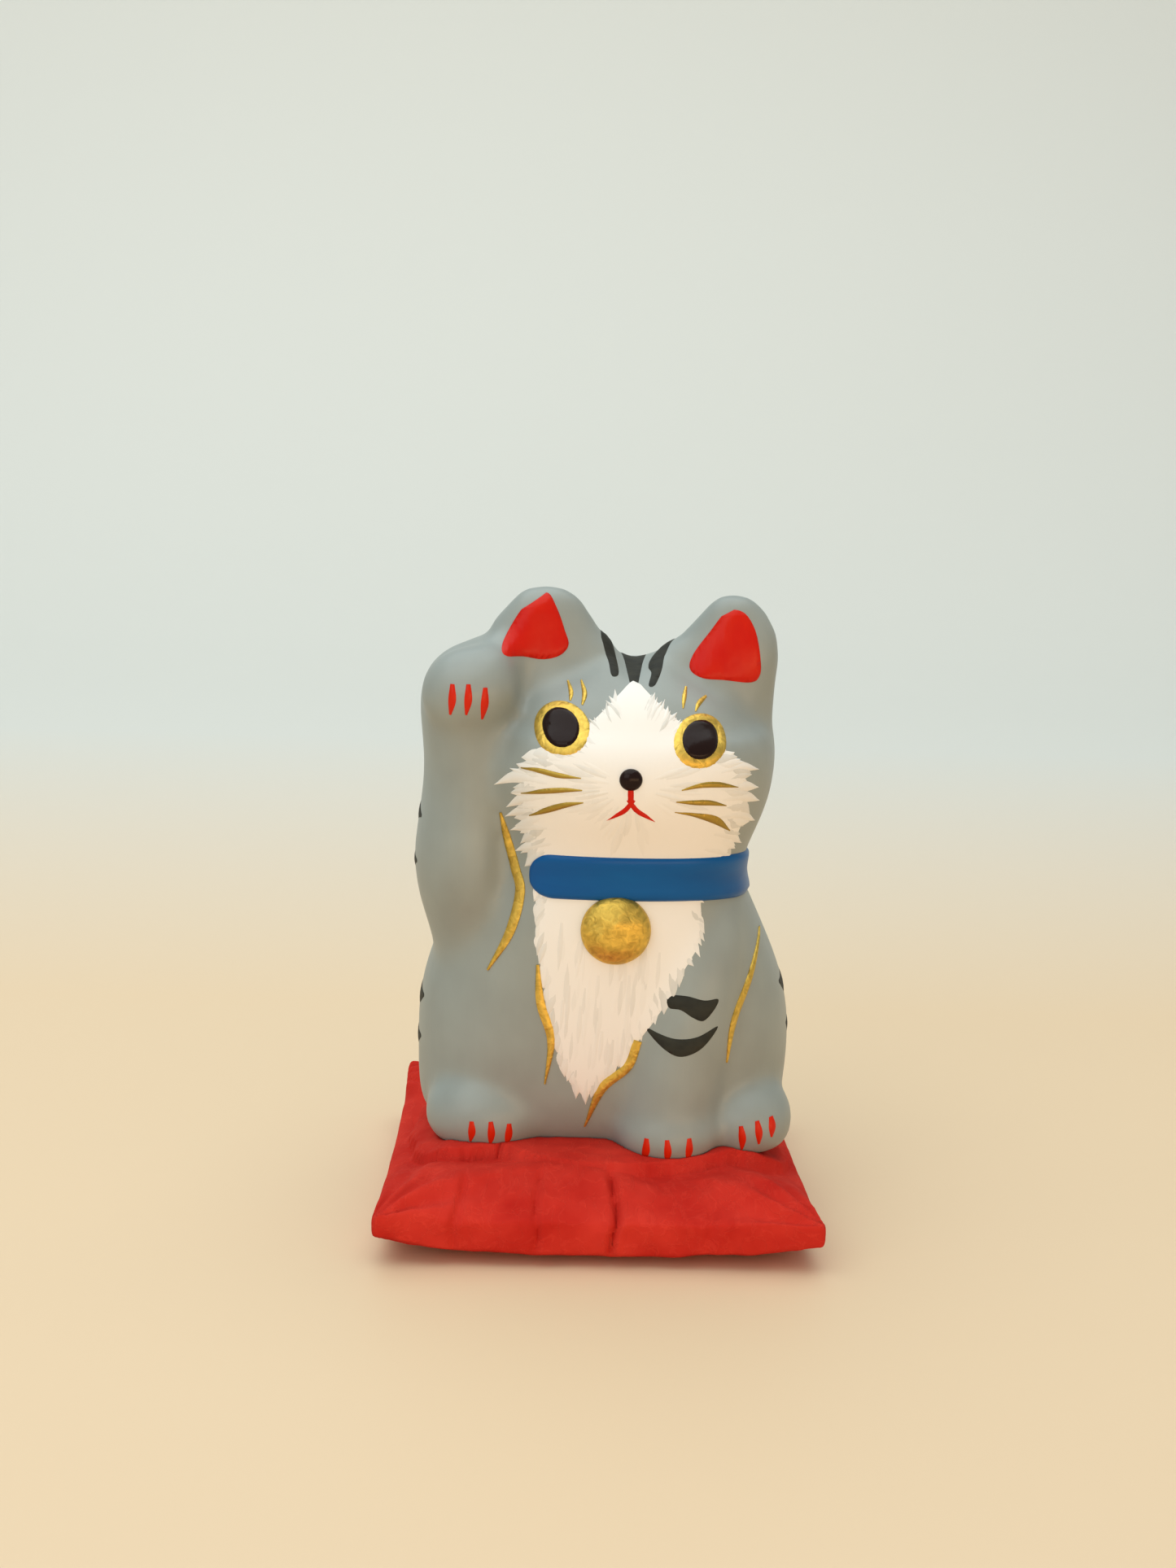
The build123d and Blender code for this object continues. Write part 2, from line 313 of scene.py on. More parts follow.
def oval(centre, half_x, half_z, lean=0.0, count=48):
    """An ellipse, leaning by an angle in degrees."""
    turn = np.linspace(0, 2 * math.pi, count, endpoint=False)
    x, z = half_x * np.cos(turn), half_z * np.sin(turn)
    c, s = math.cos(math.radians(lean)), math.sin(math.radians(lean))
    return [(centre[0] + a * c - b * s, centre[1] + a * s + b * c) for a, b in zip(x, z)]


def closed_behind(shape, under):
    """Closes a sheet of paint with a back face, at the places kept in its layer called under."""
    grown = bmesh.ops.extrude_face_region(shape, geom=shape.faces[:], use_keep_orig=True)
    for item in grown["geom"]:
        if isinstance(item, bmesh.types.BMVert):
            item.co = item[under]
    bmesh.ops.recalc_face_normals(shape, faces=shape.faces[:])


class Coat:
    """Paint that is drawn flat in mm, seen from one side of the cat, and then laid on the clay."""

    def __init__(self, side="front"):
        self.shape = bmesh.new()
        self.lift = self.shape.verts.layers.float.new("lift")
        self.tone = self.shape.verts.layers.float.new("tone")
        self.across, self.up = sides[side]
        self.aim = self.up.cross(self.across)

    def patch(self, outline, height, soft=0.5, cell=0.7, tone=0.0, dome=0.0):
        """A filled outline, thinning over a soft width at its rim, and domed towards its middle."""
        rim = [self.shape.verts.new((x, z, 0)) for x, z in outline]
        edges = [self.shape.edges.new(pair) for pair in zip(rim, rim[1:] + rim[:1])]
        filled = bmesh.ops.triangle_fill(self.shape, edges=edges, use_beauty=True)["geom"]
        geometry = rim + edges + [item for item in filled if item not in edges]
        corners = np.array(outline)
        for axis, normal in ((0, (1, 0, 0)), (1, (0, 1, 0))):
            for at in np.arange(corners[:, axis].min() + cell, corners[:, axis].max(), cell):
                geometry = bmesh.ops.bisect_plane(
                    self.shape, geom=list(set(geometry)), dist=1e-5,
                    plane_co=Vector(normal) * float(at), plane_no=normal)["geom"]
        following = np.roll(corners, -1, axis=0)
        run = following - corners
        reach = 0.5 * (corners.max(axis=0) - corners.min(axis=0)).min()
        for vert in geometry:
            if isinstance(vert, bmesh.types.BMVert):
                offset = np.array(vert.co.xy) - corners
                share = np.clip((offset * run).sum(axis=1) / (run ** 2).sum(axis=1), 0, 1)
                inside = np.sqrt(((offset - run * share[:, None]) ** 2).sum(axis=1)).min()
                swell = dome * (1 - (1 - min(1, inside / reach)) ** 2)
                vert[self.lift] = paint_rim + height * math.sqrt(min(1, inside / soft)) + swell
                vert[self.tone] = tone

    def stroke(self, points, height, tone=0.0, steps=6, over=0.015):
        """One brush stroke through points, each given as across, up and width, over other paint."""
        line = smoothed(points, steps)
        heading = np.gradient(line[:, :2], axis=0)
        heading /= np.linalg.norm(heading, axis=1)[:, None] + 1e-9
        grid = bmesh.ops.create_grid(self.shape, x_segments=len(line) - 1, y_segments=4, size=1)
        widest = line[:, 2].max()
        for vert in grid["verts"]:
            along = int(round((vert.co.x + 1) / 2 * (len(line) - 1)))
            beside = vert.co.y
            width = max(line[along, 2], 0.03)
            vert.co.x = line[along, 0] - heading[along, 1] * beside * width / 2
            vert.co.y = line[along, 1] + heading[along, 0] * beside * width / 2
            vert.co.z = 0
            vert[self.lift] = over + height * (1 - beside ** 2) * math.sqrt(width / widest)
            vert[self.tone] = tone

    def laid(self, name, finish, replaced=None):
        """Drops every vertex on the clay and closes the paint behind with a face against it."""
        under = self.shape.verts.layers.float_vector.new("under")
        for vert in self.shape.verts:
            start = (self.across * vert.co.x + self.up * vert.co.y) * mm - self.aim * 0.1
            hit, normal, _, _ = clay.ray_cast(start, self.aim)
            if hit is None:
                hit, normal, _, _ = clay.find_nearest(start + self.aim * 0.1)
            vert.co = hit + normal * vert[self.lift] * mm
            vert[under] = hit - normal * paint_sunk * mm
        closed_behind(self.shape, under)
        piece = object_of(self.shape, name, finish)
        smooth(piece, 60)
        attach(piece, "cat")
        if replaced:
            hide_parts(replaced)
        return piece


def feathered(coat, edge, inside, count, lengths, widths, seed, lean=0.0):
    """Short tapered strokes along an edge, from a little inside it to a little beyond it."""
    chance = random.Random(seed)
    line = smoothed(edge, 12)
    for i in range(count):
        at = line[int((i + chance.random()) / count * (len(line) - 1))]
        way = np.array(at) - np.array(inside) + np.array([0, lean])
        way /= np.linalg.norm(way)
        way += np.array([chance.uniform(-0.2, 0.2), chance.uniform(-0.25, 0.1)])
        beyond = chance.uniform(*lengths)
        width = chance.uniform(*widths)
        bend = np.array([-way[1], way[0]]) * chance.uniform(-0.35, 0.35)
        root = at - way * 2.6
        tip = at + way * beyond
        middle = (root + tip) / 2 + bend
        coat.stroke([(*root, width * 0.5), (*middle, width), (*tip, 0.04)],
                    chance.uniform(0.10, 0.17), tone=chance.uniform(0, 0.45), steps=5)


white_paint = Finish("white_matt_paint", Roughness=0.62, Specular_IOR_Level=0.3)
brushed = white_paint.cloud(700, stretch=(1, 1, 0.22), detail=3.0)
thin = (white_paint.attribute("tone") * (0.5 + brushed * 1.1)).within(0, 1)
white_paint.feed(white_paint.shader, {
    "Base Color": white_paint.mixed(thin, (0.86, 0.845, 0.8, 1), (0.45, 0.46, 0.42, 1))})
white_paint.relief(brushed, 0.05 * mm)

face = Coat()
near_cheek = [(0.4, 70.5), (-1.9, 68.4), (-4.4, 66.2), (-8.2, 64.0), (-10.4, 62.6), (-11.2, 60.4),
              (-11.5, 58.0), (-11.2, 55.6), (-10.7, 53.0), (-9.9, 50.6), (-9.7, 48.0)]
far_cheek = [(4.6, 70.8), (6.8, 69.0), (9.0, 67.4), (12.0, 65.6), (15.0, 63.8), (16.6, 61.8),
             (16.9, 59.6), (16.9, 57.2), (17.0, 54.6), (16.2, 51.8), (15.0, 49.6), (14.8, 47.6)]
face.patch([(2.5, 72.1), (1.6, 71.5), *near_cheek, (-9.4, 46.4), (14.4, 45.2), *far_cheek[::-1],
            (3.5, 71.7)], 0.12, soft=0.6)
feathered(face, near_cheek[3:], (3.0, 60.5), 34, (0.1, 1.5), (1.2, 2.2), 3, lean=-1.5)
feathered(face, far_cheek[3:], (2.0, 60.0), 34, (0.1, 1.4), (1.2, 2.2), 4, lean=-1.5)
feathered(face, near_cheek[:4], (4.5, 62.0), 24, (0.0, 0.8), (0.6, 1.1), 5, lean=2.0)
feathered(face, far_cheek[:4], (1.0, 62.0), 24, (0.0, 0.8), (0.6, 1.1), 6, lean=2.0)
for wisp in (
    [(-8.0, 60.2, 1.2), (-11.6, 60.4, 1.6), (-14.7, 58.6, 0.04)],
    [(-8.2, 58.4, 1.2), (-10.8, 57.6, 1.6), (-13.1, 55.7, 0.04)],
    [(-8.0, 56.4, 1.2), (-10.8, 55.8, 1.5), (-13.2, 54.3, 0.04)],
    [(-7.8, 54.0, 1.2), (-10.2, 53.6, 1.5), (-12.5, 52.4, 0.04)],
    [(-7.2, 51.8, 1.2), (-9.6, 51.0, 1.5), (-11.8, 49.6, 0.04)],
    [(13.6, 62.0, 1.0), (16.2, 62.4, 1.3), (18.8, 61.6, 0.04)],
    [(13.6, 59.8, 1.2), (16.6, 59.8, 1.6), (18.9, 59.2, 0.04)],
    [(14.0, 58.4, 1.2), (16.8, 58.4, 1.6), (19.2, 57.2, 0.04)],
    [(13.8, 56.0, 1.2), (16.6, 55.8, 1.6), (18.9, 54.2, 0.04)],
    [(13.2, 53.6, 1.2), (15.4, 52.8, 1.5), (17.3, 51.2, 0.04)],
    [(12.2, 51.4, 1.2), (14.4, 50.6, 1.4), (16.3, 49.2, 0.04)],
):
    face.stroke(wisp, 0.16, tone=0.1)
chance = random.Random(7)
face_middle = np.array([2.4, 60.5])
for _ in range(46):
    turn = math.radians(chance.uniform(-205, 25))
    reach = chance.uniform(4.5, 8.5)
    way = np.array([math.cos(turn), math.sin(turn)])
    root = face_middle + way * reach * 0.6
    tip = face_middle + way * (reach + 2.6)
    face.stroke([(*root, 0.5), (*((root + tip) / 2), chance.uniform(0.8, 1.4)), (*tip, 0.04)],
                chance.uniform(0.05, 0.08), tone=chance.uniform(0, 0.22), steps=4, over=0.1)
face.laid("face_paint", white_paint, "face_coat")

bib = Coat()
near_edge = [(-9.0, 46.0), (-9.0, 43.2), (-8.8, 40.0), (-8.2, 36.0), (-7.4, 31.8), (-6.5, 27.6),
             (-5.3, 23.2), (-4.2, 20.2), (-2.4, 17.8)]
far_edge = [(12.0, 45.6), (12.3, 42.6), (12.6, 40.0), (11.6, 37.4), (9.8, 34.4), (8.2, 31.0),
            (6.2, 27.6), (3.6, 23.8), (1.2, 20.6), (-1.2, 17.8)]
bib.patch([*near_edge, (-1.8, 17.1), *far_edge[::-1]], 0.12, soft=0.5)
for edge, inside, seed in ((near_edge, (-2, 52), 11), (far_edge, (2, 52), 12)):
    feathered(bib, edge, inside, 32, (-0.1, 0.85), (1.0, 1.9), seed)
for wisp in (
    [(-3.4, 20.4, 0.9), (-3.0, 18.6, 1.1), (-3.0, 17.0, 0.04)],
    [(-1.6, 20.0, 0.9), (-1.8, 18.0, 1.1), (-1.7, 16.2, 0.04)],
    [(-0.4, 20.6, 0.9), (-0.4, 18.8, 1.0), (-0.6, 17.2, 0.04)],
):
    bib.stroke(wisp, 0.15, tone=0.2)
for _ in range(56):
    up = chance.uniform(25, 42)
    narrow = (up - 14) / 26
    across = -1.2 + chance.uniform(-7.0, 10.5) * narrow * 0.9
    fall = min(chance.uniform(4.0, 8.0), (up - 17) * 0.6)
    bib.stroke([(across, up, 0.6), (across - 0.1, up - fall / 2, chance.uniform(0.7, 1.3)),
                (across - 0.3, up - fall, 0.04)],
               chance.uniform(0.05, 0.08), tone=chance.uniform(0, 0.22), steps=4, over=0.1)
bib.laid("bib_paint", white_paint, "bib_coat")

# ---- ears, stripes and claws ----
# Flat areas and strokes of enamel and paint. The ears are lined in thick red, the tabby stripes
# are brushed in charcoal, and three short red strokes mark the claws of every paw.

red_paint = Finish("red_enamel", Roughness=0.3, Specular_IOR_Level=0.16)
dabs = red_paint.cloud(380, stretch=(1, 1, 0.6), detail=2.5)
red_paint.feed(red_paint.shader, {
    "Base Color": red_paint.mixed(
        (dabs * 1.2 - 0.1 + red_paint.attribute("tone")).within(0, 1),
        (0.54, 0.003, 0.001, 1), (0.62, 0.02, 0.004, 1))})
red_paint.relief(dabs, 0.16 * mm)

ears = Coat()
ears.patch(rounded([(-8.7, 82.2), (-7.3, 80.4), (-6.2, 77.6), (-5.7, 75.8), (-6.8, 74.5), (-9.0, 74.0),
                    (-11.4, 74.4), (-13.4, 74.8), (-14.2, 75.7), (-13.4, 77.5), (-11.4, 80.6)]),
           0.22, dome=0.12)
ears.patch(rounded([(15.3, 80.8), (16.9, 80.2), (18.2, 78.0), (18.9, 74.6), (18.9, 72.6), (17.8, 71.7),
                    (14.3, 72.0), (11.5, 72.2), (9.9, 73.2), (10.3, 75.0), (12.4, 78.0), (14.0, 80.2)]),
           0.22, dome=0.12)
ears.laid("ear_red", red_paint, "ear_linings")

claws = Coat()
for top, foot in (
    ((-20.2, 71.9), (-20.4, 68.0)), ((-18.2, 72.0), (-18.4, 68.1)), ((-16.1, 71.6), (-16.4, 67.4)),
    ((-16.5, 13.8), (-16.6, 10.9)), ((-14.0, 13.9), (-14.0, 10.5)), ((-11.6, 13.5), (-11.9, 10.2)),
    ((6.2, 13.2), (5.9, 9.6)), ((8.8, 13.3), (8.9, 9.9)), ((11.7, 13.4), (11.6, 10.0)),
    ((18.7, 13.8), (19.0, 10.4)), ((20.8, 14.5), (21.2, 11.3)), ((22.7, 14.8), (22.9, 12.1)),
):
    top, foot = np.array(top), np.array(foot)
    middle = (top + foot) / 2 + np.array([0.12, 0])
    claws.stroke([(*top, 0.55), (*middle, 0.98), (*foot, 0.3)], 0.15, tone=0.5)
claws.laid("claw_strokes", red_paint, "claws")

charcoal = Finish("charcoal_paint", Roughness=0.6, Specular_IOR_Level=0.15)
dry = charcoal.cloud(900, stretch=(0.5, 1, 1), detail=2.0)
charcoal.feed(charcoal.shader, {
    "Base Color": charcoal.mixed(dry, (0.014, 0.016, 0.016, 1), (0.042, 0.042, 0.03, 1))})
charcoal.relief(dry, 0.06 * mm)

crown = Coat("top")
crown.patch(rounded([(-1.6, 1.2), (-0.4, 1.6), (0.2, -0.6), (0.7, -4.2), (0.6, -5.9), (-0.2, -6.0),
                     (-0.6, -3.4), (-1.6, -0.8)]), 0.12)
crown.patch([(1.2, 2.6), (4.6, 2.6), (3.9, -1.6), (3.2, -6.9), (2.6, -6.5), (2.1, -6.9), (1.7, -2.4)], 0.12)
crown.patch(rounded([(8.2, 1.4), (6.9, 2.2), (5.0, -1.4), (4.6, -3.4), (4.9, -5.0), (4.5, -7.4),
                     (5.3, -7.3), (6.2, -4.8), (6.8, -1.6)]), 0.12)
crown.laid("crown_strokes", charcoal, "crown_stripes")

foreleg = Coat()
foreleg.patch(rounded([(7.3, 31.4), (8.6, 32.0), (10.8, 32.1), (13.0, 31.6), (14.8, 31.6), (14.4, 30.4),
                       (13.0, 29.0), (11.6, 29.4), (10.0, 30.3), (8.4, 30.4)]), 0.12)
foreleg.patch(rounded([(5.3, 27.6), (7.2, 27.0), (9.6, 26.6), (12.2, 26.9), (14.9, 28.0), (13.6, 26.0),
                       (12.0, 24.8), (10.0, 24.3), (8.2, 25.0), (6.4, 26.4)]), 0.12)
foreleg.laid("foreleg_strokes", charcoal, "foreleg_stripes")

for side, stripes in (
    ("left", [[(3.0, 52.8, 0.4), (-0.5, 52.8, 2.4), (-4.5, 51.6, 3.0), (-8.5, 52.4, 0.4)],
              [(2.4, 46.6, 0.4), (-1.0, 46.2, 2.2), (-5.0, 45.4, 2.8), (-9.5, 46.6, 0.4)],
              [(-1.4, 27.0, 0.4), (-5.0, 26.2, 2.6), (-10.0, 26.4, 3.2), (-15.0, 28.4, 0.4)],
              [(-1.8, 21.2, 0.4), (-5.5, 20.4, 2.6), (-10.0, 20.6, 3.0), (-14.5, 22.4, 0.4)]]),
    ("right", [[(1.0, 30.2, 0.4), (5.0, 29.0, 2.6), (9.0, 29.4, 3.2), (15.0, 31.4, 0.4)],
               [(1.8, 24.2, 0.4), (6.0, 23.0, 2.6), (10.0, 23.2, 3.0), (15.0, 25.2, 0.4)]]),
    ("back", [[(-2.4, 68.0, 0.5), (-2.2, 64.0, 2.2), (-1.8, 59.0, 0.4)],
              [(1.8, 68.0, 0.5), (1.6, 64.0, 2.2), (1.4, 59.0, 0.4)],
              [(-9.0, 37.4, 0.4), (-5.0, 39.2, 2.6), (0.0, 39.8, 3.2), (5.0, 39.2, 2.6),
               (9.0, 37.4, 0.4)],
              [(-11.0, 30.8, 0.4), (-6.0, 32.8, 2.6), (0.0, 33.4, 3.4), (6.0, 32.8, 2.6),
               (11.0, 30.8, 0.4)],
              [(-11.0, 24.2, 0.4), (-6.0, 26.0, 2.6), (0.0, 26.6, 3.2), (6.0, 26.0, 2.6),
               (11.0, 24.2, 0.4)]]),
):
    tabby = Coat(side)
    for stripe in stripes:
        tabby.stroke(stripe, 0.13, steps=10)
    tabby.laid(side + "_stripes", charcoal)

# ---- gold contours, lashes and whiskers ----
# Gold paint, drawn with one loaded brush: swelling strokes for the outlines of the limbs,
# and finer ones that taper at both ends for the whiskers and lashes.

gold = Finish("gold_leaf_paint", Metallic=0.9, Roughness=0.36)
wrinkles = gold.cloud(950, detail=3.5, distortion=1.2)
gold.feed(gold.shader, {
    "Base Color": gold.mixed(
        (wrinkles * 1.6 - 0.3 - gold.attribute("tone")).within(0, 1),
        (0.42, 0.28, 0.05, 1), (0.95, 0.66, 0.13, 1)),
    "Roughness": 0.32 + wrinkles * 0.3})
gold.relief(wrinkles, 0.12 * mm)

contours = Coat()
for line in (
    [(-13.8, 54.8, 0.3), (-12.9, 51.4, 1.0), (-11.7, 47.4, 1.2), (-11.0, 44.4, 1.2),
     (-12.2, 39.2, 1.1), (-14.9, 33.8, 0.25)],
    [(-8.5, 35.4, 0.4), (-8.0, 30.3, 1.1), (-6.5, 25.3, 1.0), (-7.1, 19.0, 0.2)],
    [(4.7, 25.6, 1.1), (3.5, 21.9, 1.2), (0.3, 18.6, 1.2), (-1.7, 12.8, 0.2)],
    [(20.8, 38.0, 0.2), (19.3, 33.1, 0.8), (17.2, 27.9, 0.9), (16.5, 22.2, 0.15)],
):
    contours.stroke(line, 0.2, steps=10, over=0.12)
contours.laid("contour_strokes", gold, "contour_lines")

lashes = Coat()
for line in (
    [(-5.7, 71.6, 0.25), (-5.3, 70.6, 0.6), (-5.4, 69.7, 0.25)],
    [(-4.0, 71.8, 0.25), (-3.6, 70.6, 0.65), (-3.9, 69.4, 0.25)],
    [(9.3, 71.4, 0.3), (9.0, 70.4, 0.6), (8.8, 69.3, 0.2)],
    [(11.9, 70.3, 0.3), (10.9, 69.7, 0.6), (10.4, 68.9, 0.2)],
):
    lashes.stroke(line, 0.14)
lashes.laid("lash_strokes", gold, "lashes")

whiskers = Coat()
for line in (
    [(-11.3, 61.6, 0.15), (-9.2, 61.7, 0.65), (-6.6, 61.4, 0.7), (-3.9, 61.3, 0.2)],
    [(-11.2, 58.3, 0.15), (-8.6, 59.1, 0.7), (-6.0, 59.6, 0.7), (-3.7, 59.8, 0.2)],
    [(-10.1, 55.4, 0.15), (-8.0, 56.6, 0.85), (-5.8, 57.6, 0.8), (-3.5, 58.2, 0.2)],
    [(8.6, 60.1, 0.2), (11.0, 60.6, 0.7), (13.4, 60.5, 0.75), (15.9, 59.9, 0.15)],
    [(8.0, 58.6, 0.2), (10.2, 58.4, 0.7), (12.4, 58.2, 0.75), (14.5, 57.6, 0.15)],
    [(7.9, 57.2, 0.15), (10.4, 56.7, 0.6), (13.2, 55.7, 1.15), (15.3, 53.8, 0.2)],
):
    whiskers.stroke(line, 0.2, tone=0.7, steps=8, over=0.12)
whiskers.laid("whisker_strokes", gold, "whiskers")

# ---- eyes, nose and mouth ----
# Each eye is a gold disc with a raised, glossy black pupil. The nose is one drop of black
# enamel on the muzzle, above a thin red mouth.

black = Finish("black_enamel", Roughness=0.2, Specular_IOR_Level=0.14)
black.shader.inputs["Base Color"].default_value = (0.014, 0.006, 0.005, 1)
black.relief(black.cloud(500, detail=2.0), 0.06 * mm)

discs = Coat()
discs.patch(oval((-6.35, 66.6), 3.5, 2.95, 6), 0.28, soft=0.7, cell=0.3)
discs.patch(oval((10.85, 65.6), 3.45, 3.05, -3), 0.28, soft=0.7, cell=0.3)
discs.laid("eye_gold", gold, "eye_rings")

pupils = Coat()
pupils.patch(oval((-6.45, 66.7), 2.45, 2.25, 6), 0.42, soft=0.5, cell=0.25, dome=0.28)
pupils.patch(oval((10.85, 65.8), 2.45, 2.25, -3), 0.42, soft=0.5, cell=0.25, dome=0.28)
pupils.laid("eye_black", black, "pupils")

before_muzzle = Vector((2.25, -100, 61.4)) * mm
muzzle = clay.ray_cast(before_muzzle, Vector((0, 1, 0)))[0]
nose_half = (1.45, 0.9, 1.4)     # half its width, depth and height, mm
nose = bmesh.new()
bmesh.ops.create_uvsphere(nose, u_segments=48, v_segments=32, radius=1)
for vert in nose.verts:
    vert.co = muzzle + Vector([place * half for place, half in zip(vert.co, nose_half)]) * mm
nose = object_of(nose, "nose_drop", black)
smooth(nose)
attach(nose, "cat")
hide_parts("nose")

mouth = Coat()
mouth.stroke([(2.25, 60.6, 0.8), (2.3, 59.4, 0.85), (2.35, 58.0, 0.7)], 0.2, over=0.1)
mouth.stroke([(2.7, 58.9, 0.6), (1.7, 57.5, 0.75), (0.6, 56.7, 0.6), (-0.6, 55.9, 0.1)], 0.18, over=0.1)
mouth.stroke([(2.0, 58.9, 0.6), (3.1, 57.5, 0.75), (4.3, 56.7, 0.6), (5.5, 55.9, 0.1)], 0.18, over=0.1)
mouth.laid("mouth_strokes", red_paint, "mouth_line")

# ---- collar and bell ----
# A thick blue band of enamel round the neck, which stops with a rounded end on each side of the
# raised arm, and a domed bell covered in crinkled gold leaf at the throat.

blue = Finish("blue_paint", Roughness=0.36, Specular_IOR_Level=0.22)
brushing = blue.cloud(260, stretch=(0.25, 0.25, 1), detail=3.0)
blue.feed(blue.shader, {
    "Base Color": blue.mixed(brushing, (0.0, 0.06, 0.24, 1), (0.0, 0.12, 0.38, 1))})
blue.relief(brushing, 0.1 * mm)

neck = Vector((2.2, 2.0)) * mm
neck_radius = 14.0               # near enough to measure along the band, mm
collar_from, collar_to = math.radians(-138), math.radians(152)
collar_height = 45.3             # of the band's middle above the floor, mm, at its tilt axis
collar_tilt = 0.1405             # rise of the band for each mm forward of that axis
tilt_axis = 3.2                  # behind the origin, mm
collar_half = 3.05               # half the band's width, mm
collar_lift = 0.62               # how far its middle stands off the clay, mm
band = bmesh.new()
bmesh.ops.create_grid(band, x_segments=300, y_segments=14, size=1)
under = band.verts.layers.float_vector.new("under")
for vert in band.verts:
    along, beside = (vert.co.x + 1) / 2, vert.co.y
    turn = collar_from + (collar_to - collar_from) * along
    outward = Vector((math.cos(turn), math.sin(turn), 0))
    arc = neck_radius * abs(collar_to - collar_from) * min(along, 1 - along)
    narrowed = math.sqrt(max(0.0, 1 - max(0.0, 1 - arc / collar_half) ** 2))
    depth = -20 * outward.y      # a first guess, which three casts bring to the clay
    for _ in range(3):
        height = (collar_height + collar_tilt * (tilt_axis + depth)
                  + beside * collar_half * max(0.05, narrowed))
        start = Vector((neck.x, neck.y, height * mm)) + outward * 0.06
        hit, normal, _, _ = clay.ray_cast(start, -outward)
        depth = -hit.y / mm
    lift = collar_lift * (1 - beside ** 6) ** 0.5 * narrowed
    vert.co = hit + normal * (lift + 0.03) * mm
    vert[under] = hit - normal * 0.1 * mm
closed_behind(band, under)
collar = object_of(band, "collar", blue)
smooth(collar, 60)
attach(collar, "cat")
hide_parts("collar_band")

bell = bmesh.new()
profile = smoothed([(0.0, 2.5), (1.8, 2.3), (3.3, 1.6), (4.2, 0.8), (4.5, 0.0), (4.3, -0.9),
                    (3.8, -2.2)], 8)
spindle = [bell.verts.new((radius, -out, 0)) for radius, out in profile]
edges = [bell.edges.new(pair) for pair in zip(spindle, spindle[1:])]
bmesh.ops.spin(bell, geom=spindle + edges, cent=(0, 0, 0), axis=(0, 1, 0), angle=2 * math.pi, steps=72)
bmesh.ops.remove_doubles(bell, verts=bell.verts, dist=0.002)
bmesh.ops.holes_fill(bell, edges=[edge for edge in bell.edges if edge.is_boundary])
bmesh.ops.recalc_face_normals(bell, faces=bell.faces[:])
bell_low, bell_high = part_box("bell")
bell_middle = (bell_low + bell_high) / 2
bell_rim = Vector((bell_middle.x, bell_low.y + 2.7 * mm, bell_middle.z))
hung = Vector((0.3, 0, -0.4))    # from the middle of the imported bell, mm
crinkle = 0.16                   # depth of the dents in the leaf, mm
for vert in bell.verts:
    dent = noise.noise(vert.co * 0.45) * crinkle
    out = Vector((vert.co.x, vert.co.y * 0.97 + dent, vert.co.z))
    vert.co = bell_rim + (out + hung) * mm
bell = object_of(bell, "bell_gold", gold)
smooth(bell, 70)
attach(bell, "cat")
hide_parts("bell")

# ---- cushion ----
# Soft wadding in a cover of thick red washi paper, folded in at the corners and glued. A cloth
# simulation blows up a thin pad for the starting form. Its profile, corners, folds and creases
# are then shaped by formula, and the cat's base is pressed into it.

washi = Finish("red_washi", Roughness=0.85, Specular_IOR_Level=0.08)
fibres = abs(washi.cloud(420, stretch=(1, 0.5, 1), detail=7.0, distortion=0.7) - 0.5)
pulp = washi.cloud(140, detail=5.0)
fibre = (1 - fibres * 30).within(0, 1)
washi.feed(washi.shader, {
    "Base Color": washi.mixed(
        (fibre * 0.12 + pulp * 0.85 - 0.08).within(0, 1),
        (0.40, 0.006, 0.004, 1), (0.80, 0.065, 0.04, 1))})
washi.relief(fibre * 0.08 + pulp, 0.4 * mm)

cushion_low, cushion_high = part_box("cushion_cover")
cushion_size = cushion_high - cushion_low
cushion_middle = (cushion_low + cushion_high) / 2
sim_scale = 10        # cloth is simulated larger, where Blender's stiffness suits it
drawn_in = 0.016      # how far the glued paper lets a point move sideways, at that scale
pad_share = 0.97      # the pad's sides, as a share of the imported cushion's
pad_thickness = 0.034     # at that scale

pad = bmesh.new()
bmesh.ops.create_cube(pad, size=1)
bmesh.ops.scale(pad, verts=pad.verts, vec=(
    cushion_size.x * sim_scale * pad_share, cushion_size.y * sim_scale * pad_share, pad_thickness))
cushion = object_of(pad, "cushion")
settle(cushion, "REMESH", mode="VOXEL", voxel_size=0.008)
flat = vertex_table(cushion.data, "co")
cloth = cushion.modifiers.new("cloth", "CLOTH")
cloth.settings.use_pressure = True
cloth.settings.uniform_pressure_force = 4
cloth.settings.effector_weights.gravity = 0
cloth.settings.quality = 6
for step in range(1, 21):
    bpy.context.scene.frame_set(step)
graph = bpy.context.evaluated_depsgraph_get()
shaped = bpy.data.meshes.new_from_object(cushion.evaluated_get(graph))
cushion.modifiers.clear()
cushion.data = shaped
bpy.context.scene.frame_set(1)
swelled = vertex_table(shaped, "co")
drift = (swelled - flat)[:, :2]
length = np.hypot(*drift.T)[:, None] + 1e-9
swelled[:, :2] = flat[:, :2] + drift / length * np.minimum(length, drawn_in)
shaped.vertices.foreach_set("co", swelled.ravel())
settle(cushion, "SUBSURF", levels=1, render_levels=1)

